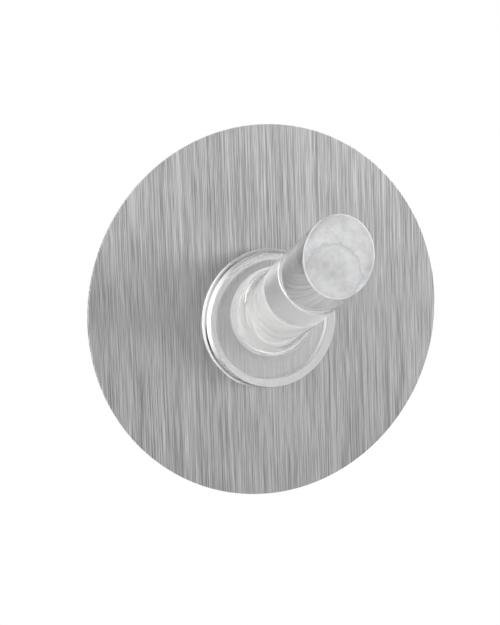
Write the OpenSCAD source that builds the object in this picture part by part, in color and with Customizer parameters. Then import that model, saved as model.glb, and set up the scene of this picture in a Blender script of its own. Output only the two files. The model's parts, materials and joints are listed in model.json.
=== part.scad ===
// Adhesive wall hook: a brushed steel disc with a clear peg hook on its face and a sticky pad on its back.
// Lengths are in millimetres. The wall is the plane y = 0, the hook faces -Y, and +Z is up.

/* [Face disc] */
// Diameter of the steel disc
disc_d = 70; // [50:1:100]
// Thickness of the steel disc
disc_t = 0.6; // [0.4:0.1:1.2]
// Radius of the rounded front edge of the disc
disc_edge_r = 0.15; // [0.05:0.05:0.2]

/* [Hook foot] */
// Diameter of the foot at its base
foot_d = 26.4; // [22:0.2:36]
// Height of the foot above the steel
foot_h = 3.2; // [2.6:0.1:5]
// Inward slope of the skirt from base to top, in degrees
foot_draft = 12; // [2:1:18]
// Thickness of the skirt at its base
skirt_t = 1.8; // [1.2:0.1:2.2]
// Inward slope of the hollow inside the skirt, in degrees
hollow_draft = 4; // [1:1:8]
// Thickness of the foot's top plate
plate_t = 1; // [0.8:0.1:1.4]
// Radius of the rounded edge round the top plate
foot_edge_r = 0.4; // [0.2:0.1:0.6]
// Distance of the foot's centre below the disc's centre
foot_drop = 1.4; // [0:0.1:6]

/* [Peg] */
// Diameter of the peg's barrel
peg_d = 13.4; // [13:0.1:15]
// Diameter of the barrel at the face of the disc, where its root is thickest
peg_root_d = 13.8; // [13.4:0.1:15]
// Length of the tapered root along the barrel, from the face of the disc
peg_root_len = 12; // [9:0.5:16]
// Upward lean of the peg from square to the wall, in degrees
peg_lean = 23.5; // [5:0.5:32]
// Distance of the flat end from the face of the disc
peg_reach = 34.5; // [30:0.5:50]
// Radius of the fillet between the peg and the foot
root_fillet_r = 2.6; // [1:0.1:3]

/* [Bore] */
// Diameter of the blind bore in the barrel
bore_d = 11.4; // [9.4:0.1:11.6]
// Depth of the bore along the barrel, from the face of the disc
bore_depth = 16.3; // [14:0.1:24]
// Diameter of the bore's flared mouth at the underside of the plate
mouth_d = 13.8; // [13:0.1:14.2]
// Depth of the flared mouth from the underside of the plate
mouth_depth = 2.8; // [2.2:0.1:3]
// Slope of the mouth's flare from square to the wall, in degrees
mouth_slope = 35; // [30:1:40]

/* [Anchor] */
// Diameter of the anchor's round foot
anchor_foot_d = 14.4; // [14.4:0.1:15]
// Gap between the end of the ringed spigot and the end of the bore
spigot_gap = 0.3; // [0.2:0.1:1]
// Height of the rings over the spigot's core
ring_h = 0.35; // [0.2:0.05:0.5]
// Number of rings on the spigot
ring_count = 4; // [2:1:4]
// Distance between rings
ring_pitch = 2.5; // [2:0.1:2.8]
// Gap between the anchor and the hook body round it
anchor_gap = 0.15; // [0.1:0.05:0.3]
// Thickness of the adhesive that bonds the anchor and the skirt to the disc
bond_t = 0.1; // [0.05:0.05:0.2]

/* [Wall pad] */
// Thickness of the foam pad behind the disc
pad_t = 0.8; // [0.5:0.1:2]
// Distance of the pad's edge inside the disc's edge
pad_inset = 1; // [0.5:0.5:6]

/* [Release paper] */
// Thickness of the release paper
liner_t = 0.1; // [0.1:0.05:0.2]
// Distance of the slit in the paper from its centre
liner_split = 10; // [4:1:16]
// Width of the slit
liner_slit_w = 0.2; // [0.1:0.1:0.5]

/* [Hidden] */
$fn = 96;

// Heights above the wall of the layers behind the hook
pad_z = liner_t;
disc_z = pad_z + pad_t;
face_z = disc_z + disc_t;

// Radii that the pieces share
disc_r = disc_d / 2;
pad_r = disc_r - pad_inset;
foot_r = foot_d / 2;
peg_r = peg_d / 2;
bore_r = bore_d / 2;
mouth_r = mouth_d / 2;
ring_r = bore_r - anchor_gap;
core_r = ring_r - ring_h;

// Plate underside, the anchor's heights, and the run of a wall with a draft over a given height
plate_z = foot_h - plate_t;
anchor_foot_h = plate_z - anchor_gap;
spigot_len = bore_depth - spigot_gap;
function run(h, draft) = h * tan(draft);

// The bore's mouth and the anchor's foot are centred where the barrel's axis passes the plate's underside
mouth_up = tan(peg_lean) * plate_z;

// The root fillet is sunk a little into the barrel and the plate, ends at an angle short of a knife edge,
// and sits where the leaning barrel leaves the plate
fillet_sink = 0.1;
fillet_end = 260;
fillet_up = tan(peg_lean) * (foot_h + root_fillet_r / 3);

// Cuts run past the faces that they go through, and the barrel past the plane that ends it
cut_over = 1;
barrel_len = (peg_reach + peg_r * sin(peg_lean)) / cos(peg_lean) + cut_over;

// Points along an arc about x, z from one angle to another
arc_steps = 8;
function arc(x, z, r, from, to) =
    [for (i = [0 : arc_steps]) let (a = from + (to - from) * i / arc_steps) [x + r * cos(a), z + r * sin(a)]];

// Pieces are drawn on a table with the wall's face down, then stood up against the wall
module on_wall() {
    rotate([90, 0, 0]) children();
}

// The hook's own place: the face of the disc, where the barrel's axis meets it
module at_hook() {
    translate([0, -foot_drop, face_z]) children();
}

// The barrel's axis, leaning upwards from the face of the disc
module along_peg() {
    rotate([-peg_lean, 0, 0]) children();
}

// A slab wider than the hook, between two heights
module slab(low, high) {
    translate([-disc_d, -disc_d, low]) cube([2 * disc_d, 2 * disc_d, high - low]);
}

module face_disc() {
    flat_r = disc_r - disc_edge_r;
    color("silver")
    on_wall()
    translate([0, 0, disc_z])
    rotate_extrude() {
        square([flat_r, disc_t]);
        square([disc_r, disc_t - disc_edge_r]);
        translate([flat_r, disc_t - disc_edge_r]) intersection() {
            circle(disc_edge_r);
            square(disc_edge_r);
        }
    }
}

// Solid outline of the foot, with its top edge rounded
module foot_outline() {
    edge_z = foot_h - foot_edge_r;
    edge_x = foot_r - run(edge_z - bond_t, foot_draft) - foot_edge_r / cos(foot_draft);
    edge = arc(edge_x, edge_z, foot_edge_r, foot_draft, 90);
    polygon(concat([[0, bond_t], [foot_r, bond_t]], edge, [[0, foot_h]]));
}

// Round fillet that blends the barrel into the top plate
module root_fillet() {
    blend = arc(peg_r - fillet_sink + root_fillet_r, root_fillet_r, root_fillet_r, fillet_end, 180);
    translate([0, fillet_up, foot_h - fillet_sink]) rotate_extrude()
        polygon(concat([[0, 0], [blend[0].x, 0]], blend, [[0, root_fillet_r]]));
}

// The barrel with its tapered root, cut off parallel to the wall at its end and inside the plate
module barrel() {
    low = -peg_root_len;
    taper = [[0, low], [peg_root_d - peg_r, low], [peg_r, peg_root_len]];
    intersection() {
        along_peg() rotate_extrude() polygon(concat(taper, [[peg_r, barrel_len], [0, barrel_len]]));
        slab(foot_h - plate_t / 2, peg_reach);
    }
}

// The hollow foot: a skirt that stands on its ring of adhesive, under a thin top plate
module foot() {
    low_r = foot_r - skirt_t + run(cut_over, hollow_draft);
    top_r = foot_r - skirt_t - run(plate_z, hollow_draft);
    difference() {
        rotate_extrude() foot_outline();
        translate([0, 0, -cut_over]) cylinder(r1 = low_r, r2 = top_r, h = cut_over + plate_z);
    }
}

// Flare of the bore's mouth from a little under the plate, narrower by a gap where the anchor fills it
module mouth(gap, under) {
    low_r = mouth_r - gap + run(under, mouth_slope);
    deep = under + mouth_depth;
    translate([0, mouth_up, plate_z - under])
        cylinder(r1 = low_r, r2 = low_r - run(deep, mouth_slope), h = deep);
}

module hook_body() {
    color("lightcyan", 0.5)
    on_wall() at_hook() difference() {
        union() {
            foot();
            root_fillet();
            barrel();
        }
        along_peg() translate([0, 0, -bore_depth]) cylinder(r = bore_r, h = 2 * bore_depth);
        mouth(0, cut_over);
    }
}

// Half-round rings along the spigot, counted back from its end
module rings() {
    for (i = [0 : ring_count - 1]) {
        ring_z = spigot_len - ring_pitch * (i + 0.5);
        translate([0, 0, ring_z]) rotate_extrude() translate([core_r, 0]) circle(ring_h);
    }
}

module anchor() {
    color("ivory")
    on_wall() at_hook() {
        translate([0, mouth_up, bond_t]) cylinder(d = anchor_foot_d, h = anchor_foot_h - bond_t);
        mouth(anchor_gap, 2 * anchor_gap);
        intersection() {
            along_peg() union() {
                translate([0, 0, -spigot_len]) cylinder(r = core_r, h = 2 * spigot_len);
                rings();
            }
            slab(bond_t, peg_reach);
        }
    }
}

module bond_film() {
    color("whitesmoke", 0.5)
    on_wall() at_hook() translate([0, mouth_up, 0]) cylinder(d = anchor_foot_d, h = bond_t);
}

// Ring of adhesive under the skirt
module bond_ring() {
    color("whitesmoke")
    on_wall() at_hook() difference() {
        cylinder(r = foot_r, h = bond_t);
        translate([0, 0, -cut_over]) cylinder(r = foot_r - skirt_t, h = bond_t + 2 * cut_over);
    }
}

module adhesive_pad() {
    color("gainsboro")
    on_wall() translate([0, 0, pad_z]) cylinder(r = pad_r, h = pad_t);
}

// The round paper on one side of its slit: side is -1 for the left of the slit and 1 for the right
module liner_half(side) {
    color("papayawhip")
    on_wall() intersection() {
        cylinder(r = pad_r, h = liner_t);
        translate([liner_split + side * (disc_d + liner_slit_w / 2), 0, 0])
            cube([2 * disc_d, 2 * disc_d, 2 * cut_over], center = true);
    }
}

module liner_large() {
    liner_half(-1);
}

module liner_small() {
    liner_half(1);
}

face_disc();
hook_body();
anchor();
bond_film();
bond_ring();
adhesive_pad();
liner_large();
liner_small();
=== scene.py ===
import json
from math import atan2, cos, pi, radians, sin, tan

import bmesh
import bpy
from mathutils import Matrix, Vector


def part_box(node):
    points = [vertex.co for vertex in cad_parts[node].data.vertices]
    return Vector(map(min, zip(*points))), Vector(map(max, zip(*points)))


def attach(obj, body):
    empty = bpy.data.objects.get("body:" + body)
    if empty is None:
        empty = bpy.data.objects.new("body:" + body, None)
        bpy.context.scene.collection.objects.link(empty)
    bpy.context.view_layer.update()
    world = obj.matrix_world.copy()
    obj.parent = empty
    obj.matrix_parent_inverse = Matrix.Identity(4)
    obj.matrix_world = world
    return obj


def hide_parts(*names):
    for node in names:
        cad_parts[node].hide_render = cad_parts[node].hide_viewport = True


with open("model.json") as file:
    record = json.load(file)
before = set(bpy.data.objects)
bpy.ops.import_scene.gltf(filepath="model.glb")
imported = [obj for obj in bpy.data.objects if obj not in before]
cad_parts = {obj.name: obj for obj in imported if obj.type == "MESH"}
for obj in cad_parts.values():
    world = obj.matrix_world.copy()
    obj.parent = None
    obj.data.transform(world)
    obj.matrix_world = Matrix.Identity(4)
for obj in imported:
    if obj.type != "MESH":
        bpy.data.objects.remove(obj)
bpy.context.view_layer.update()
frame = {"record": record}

# Lengths below are written in millimetres and turned to metres
MM = 0.001

# Places and sizes that come from the frame
disc_low, disc_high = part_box("face_disc")
hook_low, hook_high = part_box("hook_body")
pad_low, pad_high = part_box("adhesive_pad")
film_low, film_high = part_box("bond_film")
ring_low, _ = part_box("bond_ring")
peg = next(mount for mount in frame["record"]["mounts"] if mount["name"] == "peg")
disc_r = disc_high.x
face = disc_low.y
foot_r = hook_high.x
foot_up = hook_low.z + foot_r
reach = face - hook_low.y
peg_r = peg["dims"]["r_mm"] * MM
lean = atan2(peg["axis"][2], -peg["axis"][1])
pad_r = pad_high.x
anchor_r = film_high.x
anchor_up = (film_low.z + film_high.z) / 2
film_t = face - film_low.y
ring_t = face - ring_low.y

# The hook's own sizes
foot_h = 3.2 * MM
foot_draft = radians(12)
foot_edge_r = 0.4 * MM
skirt_t = 1.8 * MM
hollow_draft = radians(4)
plate_t = 1 * MM
plate_low = foot_h - plate_t
root_r = 6.9 * MM
root_len = 12 * MM
fillet_r = 2.6 * MM
rim_r = 0.45 * MM
sink_depth = 0.12 * MM
bore_r = 5.7 * MM
bore_depth = 16.3 * MM
bore_edge_r = 0.4 * MM
mouth_r = 6.9 * MM
mouth_depth = 2.8 * MM

# How far the fillet spreads above and below the leaning peg, as shares of its radius
fillet_above = 1.35
fillet_below = 0.65

# The anchor's own sizes
spigot_len = 16 * MM
spigot_edge_r = 0.15 * MM
core_r = 5.2 * MM
ring_h = 0.35 * MM
ring_count = 4
ring_pitch = 2.5 * MM
anchor_gap = 0.15 * MM
anchor_edge_r = 0.3 * MM

# The thin layers' own sizes
disc_edge_r = 0.15 * MM
pad_bulge = 0.06 * MM
film_squeeze = 0.05 * MM
slit_x = 10 * MM
slit_w = 0.2 * MM

# Flats end in a narrow band beside each rounded edge, so that they shade flat
FLAT_BAND = 0.08 * MM
# Clear pieces stand this far off what they touch, so that light meets one surface at a time
SEAT_GAP = 0.02 * MM
# Corners that are closer than this are one corner
MERGE_GAP = 0.001 * MM
# Edges that turn by more than this stay crisp
CRISP_ANGLE = radians(38)
# Steps round a piece, and along a rounded edge, a small edge and the mouth's flare
SEGMENTS = 160
DISC_SEGMENTS = 288
ARC_STEPS = 8
EDGE_STEPS = 4
FLARE_STEPS = 8

# Clear acrylic in each of its finishes
ACRYLIC_COLOUR = "#FCFCFD"
ACRYLIC_IOR = 1.49

# The photograph's view: its angles, the distance from the steel's face, and where that face's centre is
VIEW_YAW = radians(-20.85)
VIEW_PITCH = radians(8.01)
VIEW_ROLL = radians(-1.90)
VIEW_DISTANCE = 360 * MM
IMAGE_W, IMAGE_H = 500, 625
FOCAL_PIXELS = 1916
FACE_PIXEL = (267.58, 311.17)


def quarter(steps=ARC_STEPS):
    """Pairs of cosine and sine along a quarter turn, for rounded edges."""
    return [(cos(i * pi / 2 / steps), sin(i * pi / 2 / steps)) for i in range(steps + 1)]


def wall_ring(across, upright, up, y):
    """Places a unit circle as an ellipse parallel to the wall."""
    return Matrix(((across, 0, 0, 0), (0, 0, -1, y), (0, upright, 0, up), (0, 0, 0, 1)))


def foot_ring(r, out):
    """A ring about the foot's centre, at a height out of the steel's face."""
    return wall_ring(r, r, foot_up, face - out)


def anchor_ring(r, out):
    """A ring about the centre of the anchor's foot, at a height out of the steel's face."""
    return wall_ring(r, r, anchor_up, face - out)


def leaning_ring(r, out):
    """A ring parallel to the wall round the leaning peg, at a height out of the steel's face."""
    return wall_ring(r, r / cos(lean), foot_up + out * tan(lean), face - out)


def square_ring(r, along):
    """A ring square to the peg's axis, at a distance along it from the steel's face."""
    root = Matrix.Translation((0, face, foot_up))
    turn = Matrix.Rotation(lean, 4, "X").inverted()
    return root @ turn @ wall_ring(r, r, 0, -along)


def loft(rings, segments=SEGMENTS, capped=True):
    """One closed skin over a row of rings: either its ends are capped, or its last ring meets its first."""
    bm = bmesh.new()
    bmesh.ops.create_circle(bm, cap_ends=capped, segments=segments, radius=1, matrix=rings[0])
    rim = list(bm.edges)
    for before, after in zip(rings, rings[1:]):
        grown = bmesh.ops.extrude_edge_only(bm, edges=rim)["geom"]
        rim = [part for part in grown if isinstance(part, bmesh.types.BMEdge) and part.is_boundary]
        corners = list({corner for edge in rim for corner in edge.verts})
        bmesh.ops.transform(bm, matrix=after @ before.inverted(), verts=corners)
    if capped:
        bmesh.ops.contextual_create(bm, geom=rim)
    else:
        bmesh.ops.remove_doubles(bm, verts=bm.verts, dist=MERGE_GAP)
    bmesh.ops.recalc_face_normals(bm, faces=bm.faces)
    return bm


def finish_piece(name, bm, body, nodes, materials):
    """Turns a bmesh into a smooth-shaded piece that stands for CAD nodes and moves with their body."""
    for skin in bm.faces:
        skin.smooth = True
    mesh = bpy.data.meshes.new(name)
    bm.to_mesh(mesh)
    bm.free()
    mesh.set_sharp_from_angle(angle=CRISP_ANGLE)
    for material in materials:
        mesh.materials.append(material)
    piece = bpy.data.objects.new(name, mesh)
    bpy.context.scene.collection.objects.link(piece)
    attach(piece, body)
    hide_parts(*nodes)


def linear(code):
    """An sRGB hex colour as the linear colour that a shader takes."""
    parts = [int(code[i:i + 2], 16) / 255 for i in (1, 3, 5)]
    return [p / 12.92 if p <= 0.04045 else ((p + 0.055) / 1.055) ** 2.4 for p in parts] + [1]


def add(tree, kind, sockets=None, **settings):
    """Adds a node with its settings, and fills its sockets with values or with other nodes' outputs."""
    made = tree.nodes.new(kind)
    for name, value in settings.items():
        setattr(made, name, value)
    for name, value in (sockets or {}).items():
        if isinstance(value, bpy.types.NodeSocket):
            tree.links.new(value, made.inputs[name])
        else:
            made.inputs[name].default_value = value
    return made


def new_material(name):
    """An empty material, its node tree and its shader."""
    material = bpy.data.materials.new(name)
    material.use_nodes = True
    tree = material.node_tree
    return material, tree, tree.nodes["Principled BSDF"]


def brushed_stainless():
    """Stainless sheet brushed upright with a belt: grey streaks, and reflections smeared sideways."""
    material, tree, shader = new_material("stainless_steel_belt_brushed")
    place = add(tree, "ShaderNodeTexCoord").outputs["Object"]
    # Belt scratches: width and length of each kind in millimetres. The finest are drawn wide enough to show
    fine_w, fine_l = 0.08, 9
    coarse_w, coarse_l = 0.12, 45
    cloud_w, cloud_l = 6, 60
    streaks = []
    for width, length, detail in ((fine_w, fine_l, 2), (coarse_w, coarse_l, 3), (cloud_w, cloud_l, 1)):
        scale = (1 / (width * MM), 0, 1 / (length * MM))
        stretched = add(tree, "ShaderNodeMapping", {"Vector": place, "Scale": scale})
        streaks.append(add(tree, "ShaderNodeTexNoise", {
            "Vector": stretched.outputs["Vector"], "Scale": 1, "Detail": detail, "Roughness": 0.6,
        }).outputs["Fac"])
    fine, coarse, cloud = streaks
    both = add(tree, "ShaderNodeMix", {"Factor": 0.5, "A": fine, "B": coarse}).outputs["Result"]
    grain = add(tree, "ShaderNodeMix", {"Factor": 0.06, "A": both, "B": cloud}).outputs["Result"]
    shade = add(tree, "ShaderNodeMapRange", {"Value": grain, "From Min": 0.42, "From Max": 0.58})
    colour = add(tree, "ShaderNodeMix", {
        "Factor": shade.outputs["Result"], "A": linear("#7B7B7B"), "B": linear("#C5C5C5"),
    }, data_type="RGBA").outputs["Result"]
    rough = add(tree, "ShaderNodeMapRange", {"Value": fine, "To Min": 0.38, "To Max": 0.5})
    relief = add(tree, "ShaderNodeBump", {"Height": both, "Strength": 0.12, "Distance": 0.02 * MM})
    across = add(tree, "ShaderNodeTangent", direction_type="UV_MAP", uv_map="across")
    shader.inputs["Metallic"].default_value = 1
    shader.inputs["Anisotropic"].default_value = 0.75
    tree.links.new(colour, shader.inputs["Base Color"])
    tree.links.new(rough.outputs["Result"], shader.inputs["Roughness"])
    tree.links.new(relief.outputs["Normal"], shader.inputs["Normal"])
    tree.links.new(across.outputs["Tangent"], shader.inputs["Tangent"])
    return material


def moulded_acrylic():
    """Clear acrylic from a polished mould: glassy, with the faint flow waves that moulding leaves."""
    material, tree, shader = new_material("clear_acrylic_moulded")
    place = add(tree, "ShaderNodeTexCoord").outputs["Object"]
    flow_mm = 3.5
    flow = add(tree, "ShaderNodeTexNoise", {
        "Vector": place, "Scale": 1 / (flow_mm * MM), "Detail": 2,
    }).outputs["Fac"]
    haze = add(tree, "ShaderNodeMapRange", {
        "Value": flow, "From Min": 0.35, "From Max": 0.75, "To Min": 0.02, "To Max": 0.06,
    })
    wave = add(tree, "ShaderNodeBump", {"Height": flow, "Strength": 0.06, "Distance": 0.1 * MM})
    shader.inputs["Base Color"].default_value = linear(ACRYLIC_COLOUR)
    shader.inputs["Transmission Weight"].default_value = 1
    shader.inputs["IOR"].default_value = ACRYLIC_IOR
    tree.links.new(haze.outputs["Result"], shader.inputs["Roughness"])
    tree.links.new(wave.outputs["Normal"], shader.inputs["Normal"])
    return material


def bloomed_acrylic():
    """The foot's face, where the mould was left as machined: a thin bloom that fades out up the fillet."""
    material, tree, shader = new_material("clear_acrylic_mould_bloom")
    normal = add(tree, "ShaderNodeTexCoord").outputs["Normal"]
    facing = add(tree, "ShaderNodeSeparateXYZ", {"Vector": normal})
    flat = add(tree, "ShaderNodeMath", {0: facing.outputs["Y"]}, operation="ABSOLUTE")
    clear = add(tree, "ShaderNodeMapRange", {
        "Value": flat.outputs["Value"], "From Min": 0.3, "From Max": 0.9, "To Min": 1, "To Max": 0.77,
    })
    shader.inputs["Base Color"].default_value = linear(ACRYLIC_COLOUR)
    shader.inputs["Roughness"].default_value = 0.03
    shader.inputs["IOR"].default_value = ACRYLIC_IOR
    tree.links.new(clear.outputs["Result"], shader.inputs["Transmission Weight"])
    return material


def cut_acrylic():
    """The peg's end, where the moulding was cut from its runner: satin and mottled, with a thin grey arc of
    painted shade.
    """
    material, tree, shader = new_material("clear_acrylic_cut_satin")
    place = add(tree, "ShaderNodeTexCoord").outputs["Object"]
    mottle_mm = 1.3
    pit_mm = 0.35
    # A thin grey wandering arc of painted shade, round a circle off the end's centre towards the lower left,
    # stands for the shade seen through the end
    shade_arc_r = 4.75 * MM
    shade_arc_width = 0.8 * MM
    shade_arc_wander = 1.1 * MM
    shade_arc_centre = (-1.3 * MM, face - reach, foot_up + reach * tan(lean) - 3.1 * MM)
    painted_shade_strength = 0.65
    mottle = add(tree, "ShaderNodeTexNoise", {
        "Vector": place, "Scale": 1 / (mottle_mm * MM), "Detail": 3,
    }).outputs["Fac"]
    pits = add(tree, "ShaderNodeTexNoise", {
        "Vector": place, "Scale": 1 / (pit_mm * MM), "Detail": 2,
    }).outputs["Fac"]
    both = add(tree, "ShaderNodeMix", {"Factor": 0.3, "A": mottle, "B": pits}).outputs["Result"]
    away = add(tree, "ShaderNodeVectorMath", {0: place, 1: shade_arc_centre}, operation="DISTANCE").outputs["Value"]
    uneven = add(tree, "ShaderNodeMath", {
        0: mottle, 1: 2 * shade_arc_wander, 2: away,
    }, operation="MULTIPLY_ADD")
    outside = add(tree, "ShaderNodeMapRange", {
        "Value": uneven.outputs["Value"],
        "From Min": shade_arc_r + shade_arc_wander, "From Max": shade_arc_r + shade_arc_wander + shade_arc_width,
    }, interpolation_type="SMOOTHSTEP").outputs["Result"]
    rough = add(tree, "ShaderNodeMapRange", {"Value": both, "To Min": 0.45, "To Max": 0.65})
    cloudy = add(tree, "ShaderNodeMapRange", {"Value": both, "From Min": 0.35, "From Max": 0.65})
    # Inside times outside is a quarter at most, midway across the painted arc
    inside = add(tree, "ShaderNodeMath", {0: 1, 1: outside}, operation="SUBTRACT")
    edge = add(tree, "ShaderNodeMath", {0: outside, 1: inside.outputs["Value"]}, operation="MULTIPLY")
    # The arc's grey colour is painted shade, put in the colour alone and not in the relief
    painted_shade_arc = add(tree, "ShaderNodeMath", {
        0: edge.outputs["Value"], 1: 4 * painted_shade_strength,
    }, operation="MULTIPLY")
    pale = add(tree, "ShaderNodeMix", {
        "Factor": cloudy.outputs["Result"], "A": linear("#DDDFE3"), "B": linear("#FDFDFE"),
    }, data_type="RGBA").outputs["Result"]
    colour = add(tree, "ShaderNodeMix", {
        "Factor": painted_shade_arc.outputs["Value"], "A": pale, "B": linear("#C4C7CC"),
    }, data_type="RGBA").outputs["Result"]
    relief = add(tree, "ShaderNodeBump", {"Height": both, "Strength": 0.35, "Distance": 0.15 * MM})
    shader.inputs["Transmission Weight"].default_value = 0.75
    shader.inputs["IOR"].default_value = ACRYLIC_IOR
    tree.links.new(colour, shader.inputs["Base Color"])
    tree.links.new(rough.outputs["Result"], shader.inputs["Roughness"])
    tree.links.new(relief.outputs["Normal"], shader.inputs["Normal"])
    return material


def pale_glue():
    """Hot-melt adhesive, laid as a thin ring: milky and even, so no brushing shows through it."""
    material, tree, shader = new_material("hot_melt_adhesive_milky")
    place = add(tree, "ShaderNodeTexCoord").outputs["Object"]
    cloud_mm = 1.2
    cloud = add(tree, "ShaderNodeTexNoise", {"Vector": place, "Scale": 1 / (cloud_mm * MM), "Detail": 2})
    colour = add(tree, "ShaderNodeMix", {
        "Factor": cloud.outputs["Fac"], "A": linear("#F3F2EE"), "B": linear("#FBFAF7"),
    }, data_type="RGBA").outputs["Result"]
    shader.inputs["Roughness"].default_value = 0.5
    tree.links.new(colour, shader.inputs["Base Color"])
    return material


def milky_polypropylene():
    """Natural polypropylene from a turned mould: milky, satin and a little warm, with fine turning lines."""
    material, tree, shader = new_material("natural_polypropylene_moulded")
    place = add(tree, "ShaderNodeTexCoord").outputs["Object"]
    cloud_mm = 2.2
    cloud = add(tree, "ShaderNodeTexNoise", {"Vector": place, "Scale": 1 / (cloud_mm * MM), "Detail": 3})
    # The lines run round the leaning spigot: their width and length in millimetres
    line_w, line_l = 0.22, 5
    along = add(tree, "ShaderNodeMapping", {
        "Vector": place, "Rotation": (-lean, 0, 0), "Scale": (line_l * MM, line_w * MM, line_l * MM),
    }, vector_type="TEXTURE")
    lines = add(tree, "ShaderNodeTexNoise", {"Vector": along.outputs["Vector"], "Scale": 1, "Detail": 2})
    both = add(tree, "ShaderNodeMix", {
        "Factor": 0.75, "A": cloud.outputs["Fac"], "B": lines.outputs["Fac"],
    }).outputs["Result"]
    shade = add(tree, "ShaderNodeMapRange", {"Value": both, "From Min": 0.35, "From Max": 0.65})
    colour = add(tree, "ShaderNodeMix", {
        "Factor": shade.outputs["Result"], "A": linear("#E6E5E1"), "B": linear("#FEFDFA"),
    }, data_type="RGBA").outputs["Result"]
    relief = add(tree, "ShaderNodeBump", {"Height": both, "Strength": 0.3, "Distance": 0.1 * MM})
    shader.inputs["Roughness"].default_value = 0.4
    shader.inputs["Subsurface Weight"].default_value = 1
    shader.inputs["Subsurface Scale"].default_value = 1 * MM
    shader.inputs["Subsurface Radius"].default_value = (1, 0.97, 0.92)
    tree.links.new(colour, shader.inputs["Base Color"])
    tree.links.new(relief.outputs["Normal"], shader.inputs["Normal"])
    return material


def bonding_film():
    """Acrylic transfer adhesive: a clear, faintly straw-coloured film with a soft skin."""
    material, tree, shader = new_material("acrylic_adhesive_film_clear")
    place = add(tree, "ShaderNodeTexCoord").outputs["Object"]
    ripple_mm = 0.8
    ripple = add(tree, "ShaderNodeTexNoise", {"Vector": place, "Scale": 1 / (ripple_mm * MM), "Detail": 2})
    rough = add(tree, "ShaderNodeMapRange", {"Value": ripple.outputs["Fac"], "To Min": 0.15, "To Max": 0.4})
    shader.inputs["Base Color"].default_value = linear("#F6F3E8")
    shader.inputs["Transmission Weight"].default_value = 0.85
    shader.inputs["IOR"].default_value = 1.47
    tree.links.new(rough.outputs["Result"], shader.inputs["Roughness"])
    return material


def closed_cell_foam():
    """White polyethylene foam, slit from a block: matt, with tiny round cells cut open on its edge, their
    pits darkened with painted shade.
    """
    material, tree, shader = new_material("polyethylene_foam_closed_cell")
    place = add(tree, "ShaderNodeTexCoord").outputs["Object"]
    # Real cells are about 0.15 mm across, and are drawn at 0.3 mm so that they show
    cell_mm = 0.3
    cells = add(tree, "ShaderNodeTexVoronoi", {
        "Vector": place, "Scale": 1 / (cell_mm * MM),
    }).outputs["Distance"]
    # Each cell is painted darker towards its pit: painted shade, alongside the bump that sinks it
    colour = add(tree, "ShaderNodeMix", {
        "Factor": cells, "A": linear("#D2D2CF"), "B": linear("#EDEDEA"),
    }, data_type="RGBA").outputs["Result"]
    relief = add(tree, "ShaderNodeBump", {"Height": cells, "Strength": 0.5, "Distance": 0.08 * MM})
    shader.inputs["Roughness"].default_value = 0.85
    tree.links.new(colour, shader.inputs["Base Color"])
    tree.links.new(relief.outputs["Normal"], shader.inputs["Normal"])
    return material


def release_paper():
    """Glassine release paper with a silicone coat: honey-coloured, cloudy with fibres, and slick."""
    material, tree, shader = new_material("glassine_paper_silicone_coated")
    place = add(tree, "ShaderNodeTexCoord").outputs["Object"]
    cloud_mm = 2.6
    fibre_w, fibre_l = 0.12, 1.6
    fibre_turn = radians(24)
    cloud = add(tree, "ShaderNodeTexNoise", {"Vector": place, "Scale": 1 / (cloud_mm * MM), "Detail": 4})
    scale = (1 / (fibre_w * MM), 0, 1 / (fibre_l * MM))
    drawn = add(tree, "ShaderNodeMapping", {"Vector": place, "Scale": scale, "Rotation": (0, fibre_turn, 0)})
    fibres = add(tree, "ShaderNodeTexNoise", {
        "Vector": drawn.outputs["Vector"], "Scale": 1, "Detail": 2, "Distortion": 0.6,
    })
    both = add(tree, "ShaderNodeMix", {
        "Factor": 0.4, "A": cloud.outputs["Fac"], "B": fibres.outputs["Fac"],
    }).outputs["Result"]
    shade = add(tree, "ShaderNodeMapRange", {"Value": both, "From Min": 0.35, "From Max": 0.65})
    colour = add(tree, "ShaderNodeMix", {
        "Factor": shade.outputs["Result"], "A": linear("#DCCBA0"), "B": linear("#EBDFBD"),
    }, data_type="RGBA").outputs["Result"]
    rough = add(tree, "ShaderNodeMapRange", {"Value": both, "To Min": 0.28, "To Max": 0.42})
    relief = add(tree, "ShaderNodeBump", {"Height": both, "Strength": 0.15, "Distance": 0.03 * MM})
    shader.inputs["IOR"].default_value = 1.45
    tree.links.new(colour, shader.inputs["Base Color"])
    tree.links.new(rough.outputs["Result"], shader.inputs["Roughness"])
    tree.links.new(relief.outputs["Normal"], shader.inputs["Normal"])
    return material


def make_disc():
    """The round steel sheet, with the front edge rounded by deburring and the back edge left crisp."""
    rings = [wall_ring(disc_r, disc_r, 0, disc_high.y)]
    for inward, forward in quarter(EDGE_STEPS):
        r = disc_r - disc_edge_r * (1 - inward)
        rings.append(wall_ring(r, r, 0, face + disc_edge_r * (1 - forward)))
    flat_r = disc_r - disc_edge_r - FLAT_BAND
    rings.append(wall_ring(flat_r, flat_r, 0, face))
    bm = loft(rings, DISC_SEGMENTS)
    # A flat map whose first axis runs across the brushing
    across = bm.loops.layers.uv.new("across")
    for skin in bm.faces:
        for corner in skin.loops:
            corner[across].uv = (corner.vert.co.x / disc_r, corner.vert.co.z / disc_r)
    finish_piece("steel_disc", bm, "hook", ["face_disc"], [brushed_stainless()])


def mouth_rings(gap, low):
    """The flare of the bore's mouth, from the leaning bore down to a circle at a height above the steel."""
    top = plate_low + mouth_depth
    rings = []
    for i in range(FLARE_STEPS + 1):
        share = (i / FLARE_STEPS) ** 2
        out = top + (low - top) * i / FLARE_STEPS
        across = bore_r + (mouth_r - bore_r) * share - gap
        upright = across / (cos(lean) + (1 - cos(lean)) * share)
        up = foot_up + out * tan(lean)
        rings.append(wall_ring(across, upright, up + (anchor_up - up) * share, face - out))
    return rings


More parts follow.
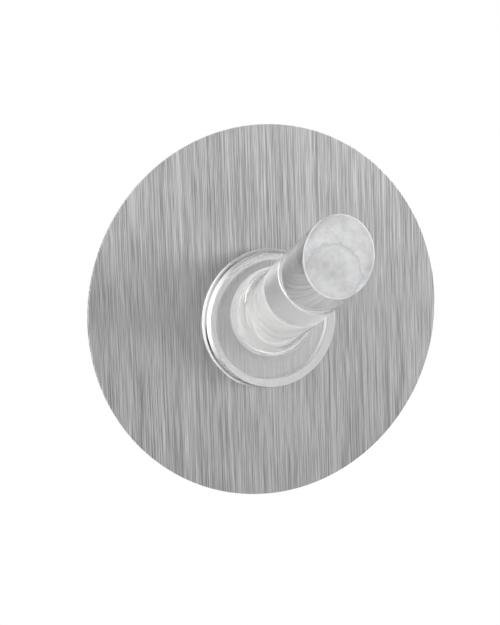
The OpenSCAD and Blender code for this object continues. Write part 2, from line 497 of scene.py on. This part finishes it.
def bore_rings():
    """The blind bore from its rounded end down to its mouth in the foot's hollow."""
    rings = [square_ring(bore_r - bore_edge_r - FLAT_BAND, bore_depth)]
    for inward, forward in reversed(quarter()):
        r = bore_r - bore_edge_r * (1 - inward)
        rings.append(square_ring(r, bore_depth - bore_edge_r * (1 - forward)))
    rings += mouth_rings(0, plate_low)
    rings.append(anchor_ring(mouth_r + FLAT_BAND, plate_low))
    return rings


def foot_rings():
    """The hollow foot: the plate's underside, then down inside the skirt and up its outside to the top."""
    slope = tan(foot_draft)
    inner_slope = tan(hollow_draft)
    base = ring_t + SEAT_GAP
    inner_base = foot_r - skirt_t
    inner_top = inner_base - plate_low * inner_slope
    rings = [
        foot_ring(inner_top - FLAT_BAND, plate_low),
        foot_ring(inner_top, plate_low),
        foot_ring(inner_top + FLAT_BAND * inner_slope, plate_low - FLAT_BAND),
        foot_ring(inner_base, base),
        foot_ring(foot_r - FLAT_BAND, base),
        foot_ring(foot_r, base + FLAT_BAND),
    ]
    edge_out = foot_h - foot_edge_r
    edge_r = foot_r - edge_out * slope - foot_edge_r / cos(foot_draft)
    for i in range(ARC_STEPS + 1):
        turn = foot_draft + (pi / 2 - foot_draft) * i / ARC_STEPS
        rings.append(foot_ring(edge_r + foot_edge_r * cos(turn), edge_out + foot_edge_r * sin(turn)))
    rings.append(foot_ring(edge_r - FLAT_BAND, foot_h))
    return rings


def barrel_radius(out):
    """The barrel's radius at a height out of the steel: its root tapers, and the rest is straight."""
    along = out / cos(lean)
    return root_r + (peg_r - root_r) * min(along / root_len, 1)


def fillet_rings():
    """The blend from plate to barrel, wider above the leaning peg than under it."""
    rings = []
    for forward, inward in quarter():
        out = foot_h + fillet_r * (1 - forward)
        r = barrel_radius(out)
        spread = fillet_r * (1 - inward)
        above, below = fillet_above * spread, fillet_below * spread
        upright = r / cos(lean) + (above + below) / 2
        up = foot_up + out * tan(lean) + (above - below) / 2
        rings.append(wall_ring(r + spread, upright, up, face - out))
    # A slightly wider ring on the plate, so that the plate shades flat
    wider = 1.01
    flat = rings[0] @ Matrix.Diagonal((wider, wider, 1, 1))
    return [flat] + rings


def barrel_rings():
    """The barrel, its rounded rim and its flat end, which is sunk a little in the middle."""
    first = foot_h + fillet_r + FLAT_BAND
    straight = root_len * cos(lean)
    rings = [leaning_ring(barrel_radius(out), out) for out in (first, straight, reach - rim_r - FLAT_BAND)]
    for inward, forward in quarter():
        out = reach - rim_r * (1 - forward)
        inset = rim_r * (1 - inward)
        up = foot_up + out * tan(lean)
        rings.append(wall_ring(peg_r - inset, peg_r / cos(lean) - inset, up, face - out))
    flat_r = peg_r - rim_r - FLAT_BAND
    steps = 10
    for i in range(steps):
        share = 1 - i / steps
        rings.append(leaning_ring(flat_r * share, reach - sink_depth * (1 - share ** 2) ** 2))
    return rings


def make_hook():
    """The clear moulding in one skin, whose cut end and foot's face have finishes of their own."""
    bm = loft(bore_rings() + foot_rings() + fillet_rings() + barrel_rings())
    # Faces are told apart by their height and by how squarely they face away from the wall
    end_from = reach - rim_r
    end_facing = 0.1
    foot_from, foot_to = foot_h - foot_edge_r, foot_h + fillet_r
    foot_facing = 0.3
    for skin in bm.faces:
        out = face - skin.calc_center_median().y
        facing = -skin.normal.y
        if facing > end_facing and out > end_from:
            skin.material_index = 1
        elif facing > foot_facing and foot_from < out < foot_to:
            skin.material_index = 2
    finishes = [moulded_acrylic(), cut_acrylic(), bloomed_acrylic()]
    finish_piece("clear_hook", bm, "hook", ["hook_body"], finishes)


def make_anchor():
    """The milky anchor: a low round foot, a flare, and a spigot with half-round rings that grip the bore."""
    top = plate_low - anchor_gap
    rings = [anchor_ring(anchor_r, film_t), anchor_ring(anchor_r, top - anchor_edge_r)]
    for inward, forward in quarter(EDGE_STEPS):
        r = anchor_r - anchor_edge_r * (1 - inward)
        rings.append(anchor_ring(r, top - anchor_edge_r * (1 - forward)))
    # The flare's uppermost rings are left out, so that it stops short of the lowest ring on the spigot
    left_out = 3
    rings += reversed(mouth_rings(anchor_gap, top)[left_out:])
    for i in reversed(range(ring_count)):
        middle = spigot_len - ring_pitch * (i + 0.5)
        for step in range(2 * ARC_STEPS + 1):
            turn = pi * step / (2 * ARC_STEPS)
            rings.append(square_ring(core_r + ring_h * sin(turn), middle - ring_h * cos(turn)))
    for inward, forward in quarter(EDGE_STEPS):
        r = core_r - spigot_edge_r * (1 - inward)
        rings.append(square_ring(r, spigot_len - spigot_edge_r * (1 - forward)))
    rings.append(square_ring(core_r - spigot_edge_r - FLAT_BAND, spigot_len))
    finish_piece("ringed_anchor", loft(rings), "hook", ["anchor"], [milky_polypropylene()])


def make_film():
    """The clear film that bonds the anchor to the steel, squeezed out a little round its edge."""
    rings = [
        anchor_ring(anchor_r - film_squeeze, SEAT_GAP),
        anchor_ring(anchor_r, film_t / 2),
        anchor_ring(anchor_r - film_squeeze, film_t - SEAT_GAP),
    ]
    finish_piece("bonding_film", loft(rings), "hook", ["bond_film"], [bonding_film()])


def make_glue_ring():
    """The thin ring of adhesive that the skirt stands on, rounded over at its two edges."""
    inner_r = foot_r - skirt_t
    round_r = ring_t / 2
    profile = [(inner_r, round_r), (inner_r + round_r, ring_t), (foot_r - round_r, ring_t)]
    profile += [(foot_r, round_r), (foot_r - round_r, 0), (inner_r + round_r, 0), profile[0]]
    bm = loft([foot_ring(r, out) for r, out in profile], capped=False)
    finish_piece("glue_ring", bm, "hook", ["bond_ring"], [pale_glue()])


def make_pad():
    """The foam pad, whose cut edge stands out a little at mid height."""
    rings = []
    steps = 8
    for i in range(steps + 1):
        share = i / steps
        r = pad_r - pad_bulge * (2 * share - 1) ** 2
        rings.append(wall_ring(r, r, 0, pad_high.y + (pad_low.y - pad_high.y) * share))
    bm = loft(rings, DISC_SEGMENTS)
    finish_piece("foam_pad", bm, "hook", ["adhesive_pad"], [closed_cell_foam()])


def make_papers():
    """The two halves of the release paper, cut from one round by a straight slit."""
    paper = release_paper()
    # The large half is to the left of the slit, and the small one to its right
    halves = (("large", -1), ("small", 1))
    for size, side in halves:
        bm = loft([wall_ring(pad_r, pad_r, 0, y) for y in (0, pad_high.y)], DISC_SEGMENTS)
        cut = bmesh.ops.bisect_plane(
            bm, geom=bm.verts[:] + bm.edges[:] + bm.faces[:],
            plane_co=(slit_x + side * slit_w / 2, 0, 0), plane_no=(-side, 0, 0), clear_outer=True,
        )["geom_cut"]
        bmesh.ops.contextual_create(bm, geom=[part for part in cut if isinstance(part, bmesh.types.BMEdge)])
        bmesh.ops.recalc_face_normals(bm, faces=bm.faces)
        name, body, node = f"release_paper_{size}", f"paper_{size}", f"liner_{size}"
        finish_piece(name, bm, body, [node], [paper])


def make_camera():
    """A camera where the photograph was taken from."""
    back = Vector((sin(VIEW_YAW) * cos(VIEW_PITCH), -cos(VIEW_YAW) * cos(VIEW_PITCH), sin(VIEW_PITCH)))
    level = Vector((cos(VIEW_YAW), sin(VIEW_YAW), 0))
    right = Matrix.Rotation(VIEW_ROLL, 3, back) @ level
    up = back.cross(right)
    offset = right * (FACE_PIXEL[0] - IMAGE_W / 2) - up * (FACE_PIXEL[1] - IMAGE_H / 2)
    eye = Vector((0, face, 0)) + (back - offset / FOCAL_PIXELS) * VIEW_DISTANCE
    data = bpy.data.cameras.new("camera")
    data.lens = FOCAL_PIXELS * data.sensor_width / IMAGE_H
    data.clip_start = 10 * MM
    camera = bpy.data.objects.new("camera", data)
    camera.matrix_world = Matrix.Translation(eye) @ Matrix((right, up, back)).transposed().to_4x4()
    bpy.context.scene.collection.objects.link(camera)
    bpy.context.scene.camera = camera


def make_key():
    """A square studio softbox to the right of the hook, which points at it."""
    place = Vector((800 * MM, -200 * MM, 150 * MM))
    watts = 6.5
    data = bpy.data.lights.new("key", "AREA")
    data.size = 600 * MM
    data.energy = watts
    lamp = bpy.data.objects.new("key", data)
    lamp.location = place
    lamp.rotation_euler = (-place).to_track_quat("-Z", "Y").to_euler()
    bpy.context.scene.collection.objects.link(lamp)


def make_world():
    """A white studio: white behind, bright at the sides, and ahead a level band of light in a dimmer sky."""
    # Levels of light, where 1 is white
    white = 1
    band_level = 1.3
    sky_low, sky_high = 0.15, 0.48
    side_level = 3.6
    # The band's share of its level at the right, and how far its middle is below eye height
    band_right = 0.65
    band_drop = 0.1
    world = bpy.data.worlds.new("studio")
    bpy.context.scene.world = world
    world.use_nodes = True
    tree = world.node_tree
    toward = add(tree, "ShaderNodeTexCoord").outputs["Generated"]
    axes = add(tree, "ShaderNodeSeparateXYZ", {"Vector": toward}).outputs
    # Ahead: the band, which is brighter to the left, where it also spreads up and down
    band = add(tree, "ShaderNodeMapRange", {
        "Value": axes["X"], "From Min": 0.1, "From Max": -0.5, "To Min": band_right,
    })
    far_left = add(tree, "ShaderNodeMapRange", {"Value": axes["X"], "From Min": -0.1, "From Max": -0.5})
    raised = add(tree, "ShaderNodeMath", {0: axes["Z"], 1: band_drop}, operation="ADD")
    off_band = add(tree, "ShaderNodeMath", {0: raised.outputs["Value"]}, operation="ABSOLUTE")
    lit = add(tree, "ShaderNodeMapRange", {
        "Value": off_band.outputs["Value"], "From Min": 0.05, "From Max": 0.4,
        "To Min": band.outputs["Result"], "To Max": far_left.outputs["Result"],
    }, interpolation_type="SMOOTHSTEP")
    sky = add(tree, "ShaderNodeMapRange", {
        "Value": axes["Z"], "From Max": 0.6, "To Min": sky_low, "To Max": sky_high,
    })
    ahead = add(tree, "ShaderNodeMapRange", {
        "Value": lit.outputs["Result"], "To Min": sky.outputs["Result"], "To Max": band_level,
    })
    # At the sides: bright from eye height up, and lower down bright at the left alone
    low_side = add(tree, "ShaderNodeMapRange", {
        "Value": far_left.outputs["Result"], "To Min": white, "To Max": side_level,
    })
    sides = add(tree, "ShaderNodeMapRange", {
        "Value": axes["Z"], "From Min": -0.5, "From Max": 0,
        "To Min": low_side.outputs["Result"], "To Max": side_level,
    })
    # From ahead to the sides, and on to white behind
    beside = add(tree, "ShaderNodeMapRange", {
        "Value": axes["Y"], "From Min": -0.48, "From Max": -0.2,
        "To Min": ahead.outputs["Result"], "To Max": sides.outputs["Result"],
    }, interpolation_type="SMOOTHSTEP")
    behind = add(tree, "ShaderNodeMapRange", {
        "Value": axes["Y"], "From Min": -0.1, "From Max": 0.1,
        "To Min": beside.outputs["Result"], "To Max": white,
    }, interpolation_type="SMOOTHSTEP")
    tree.links.new(behind.outputs["Result"], tree.nodes["Background"].inputs["Color"])


def make_floor():
    """A plain pale floor below the hook, out of the photograph's view."""
    floor_r = 250 * MM
    floor_z = -200 * MM
    floor_segments = 96
    bm = bmesh.new()
    place = Matrix.Translation((0, 0, floor_z))
    bmesh.ops.create_circle(bm, cap_ends=True, segments=floor_segments, radius=floor_r, matrix=place)
    mesh = bpy.data.meshes.new("floor")
    bm.to_mesh(mesh)
    bm.free()
    material, _, shader = new_material("floor_pale")
    shader.inputs["Base Color"].default_value = linear("#E6E6E6")
    shader.inputs["Roughness"].default_value = 0.9
    shader.inputs["Specular IOR Level"].default_value = 0
    mesh.materials.append(material)
    floor = bpy.data.objects.new("floor", mesh)
    bpy.context.scene.collection.objects.link(floor)


make_camera()
make_disc()
make_hook()
make_anchor()
make_film()
make_glue_ring()
make_pad()
make_papers()
make_floor()
make_world()
make_key()
bpy.context.scene.view_settings.view_transform = "Standard"
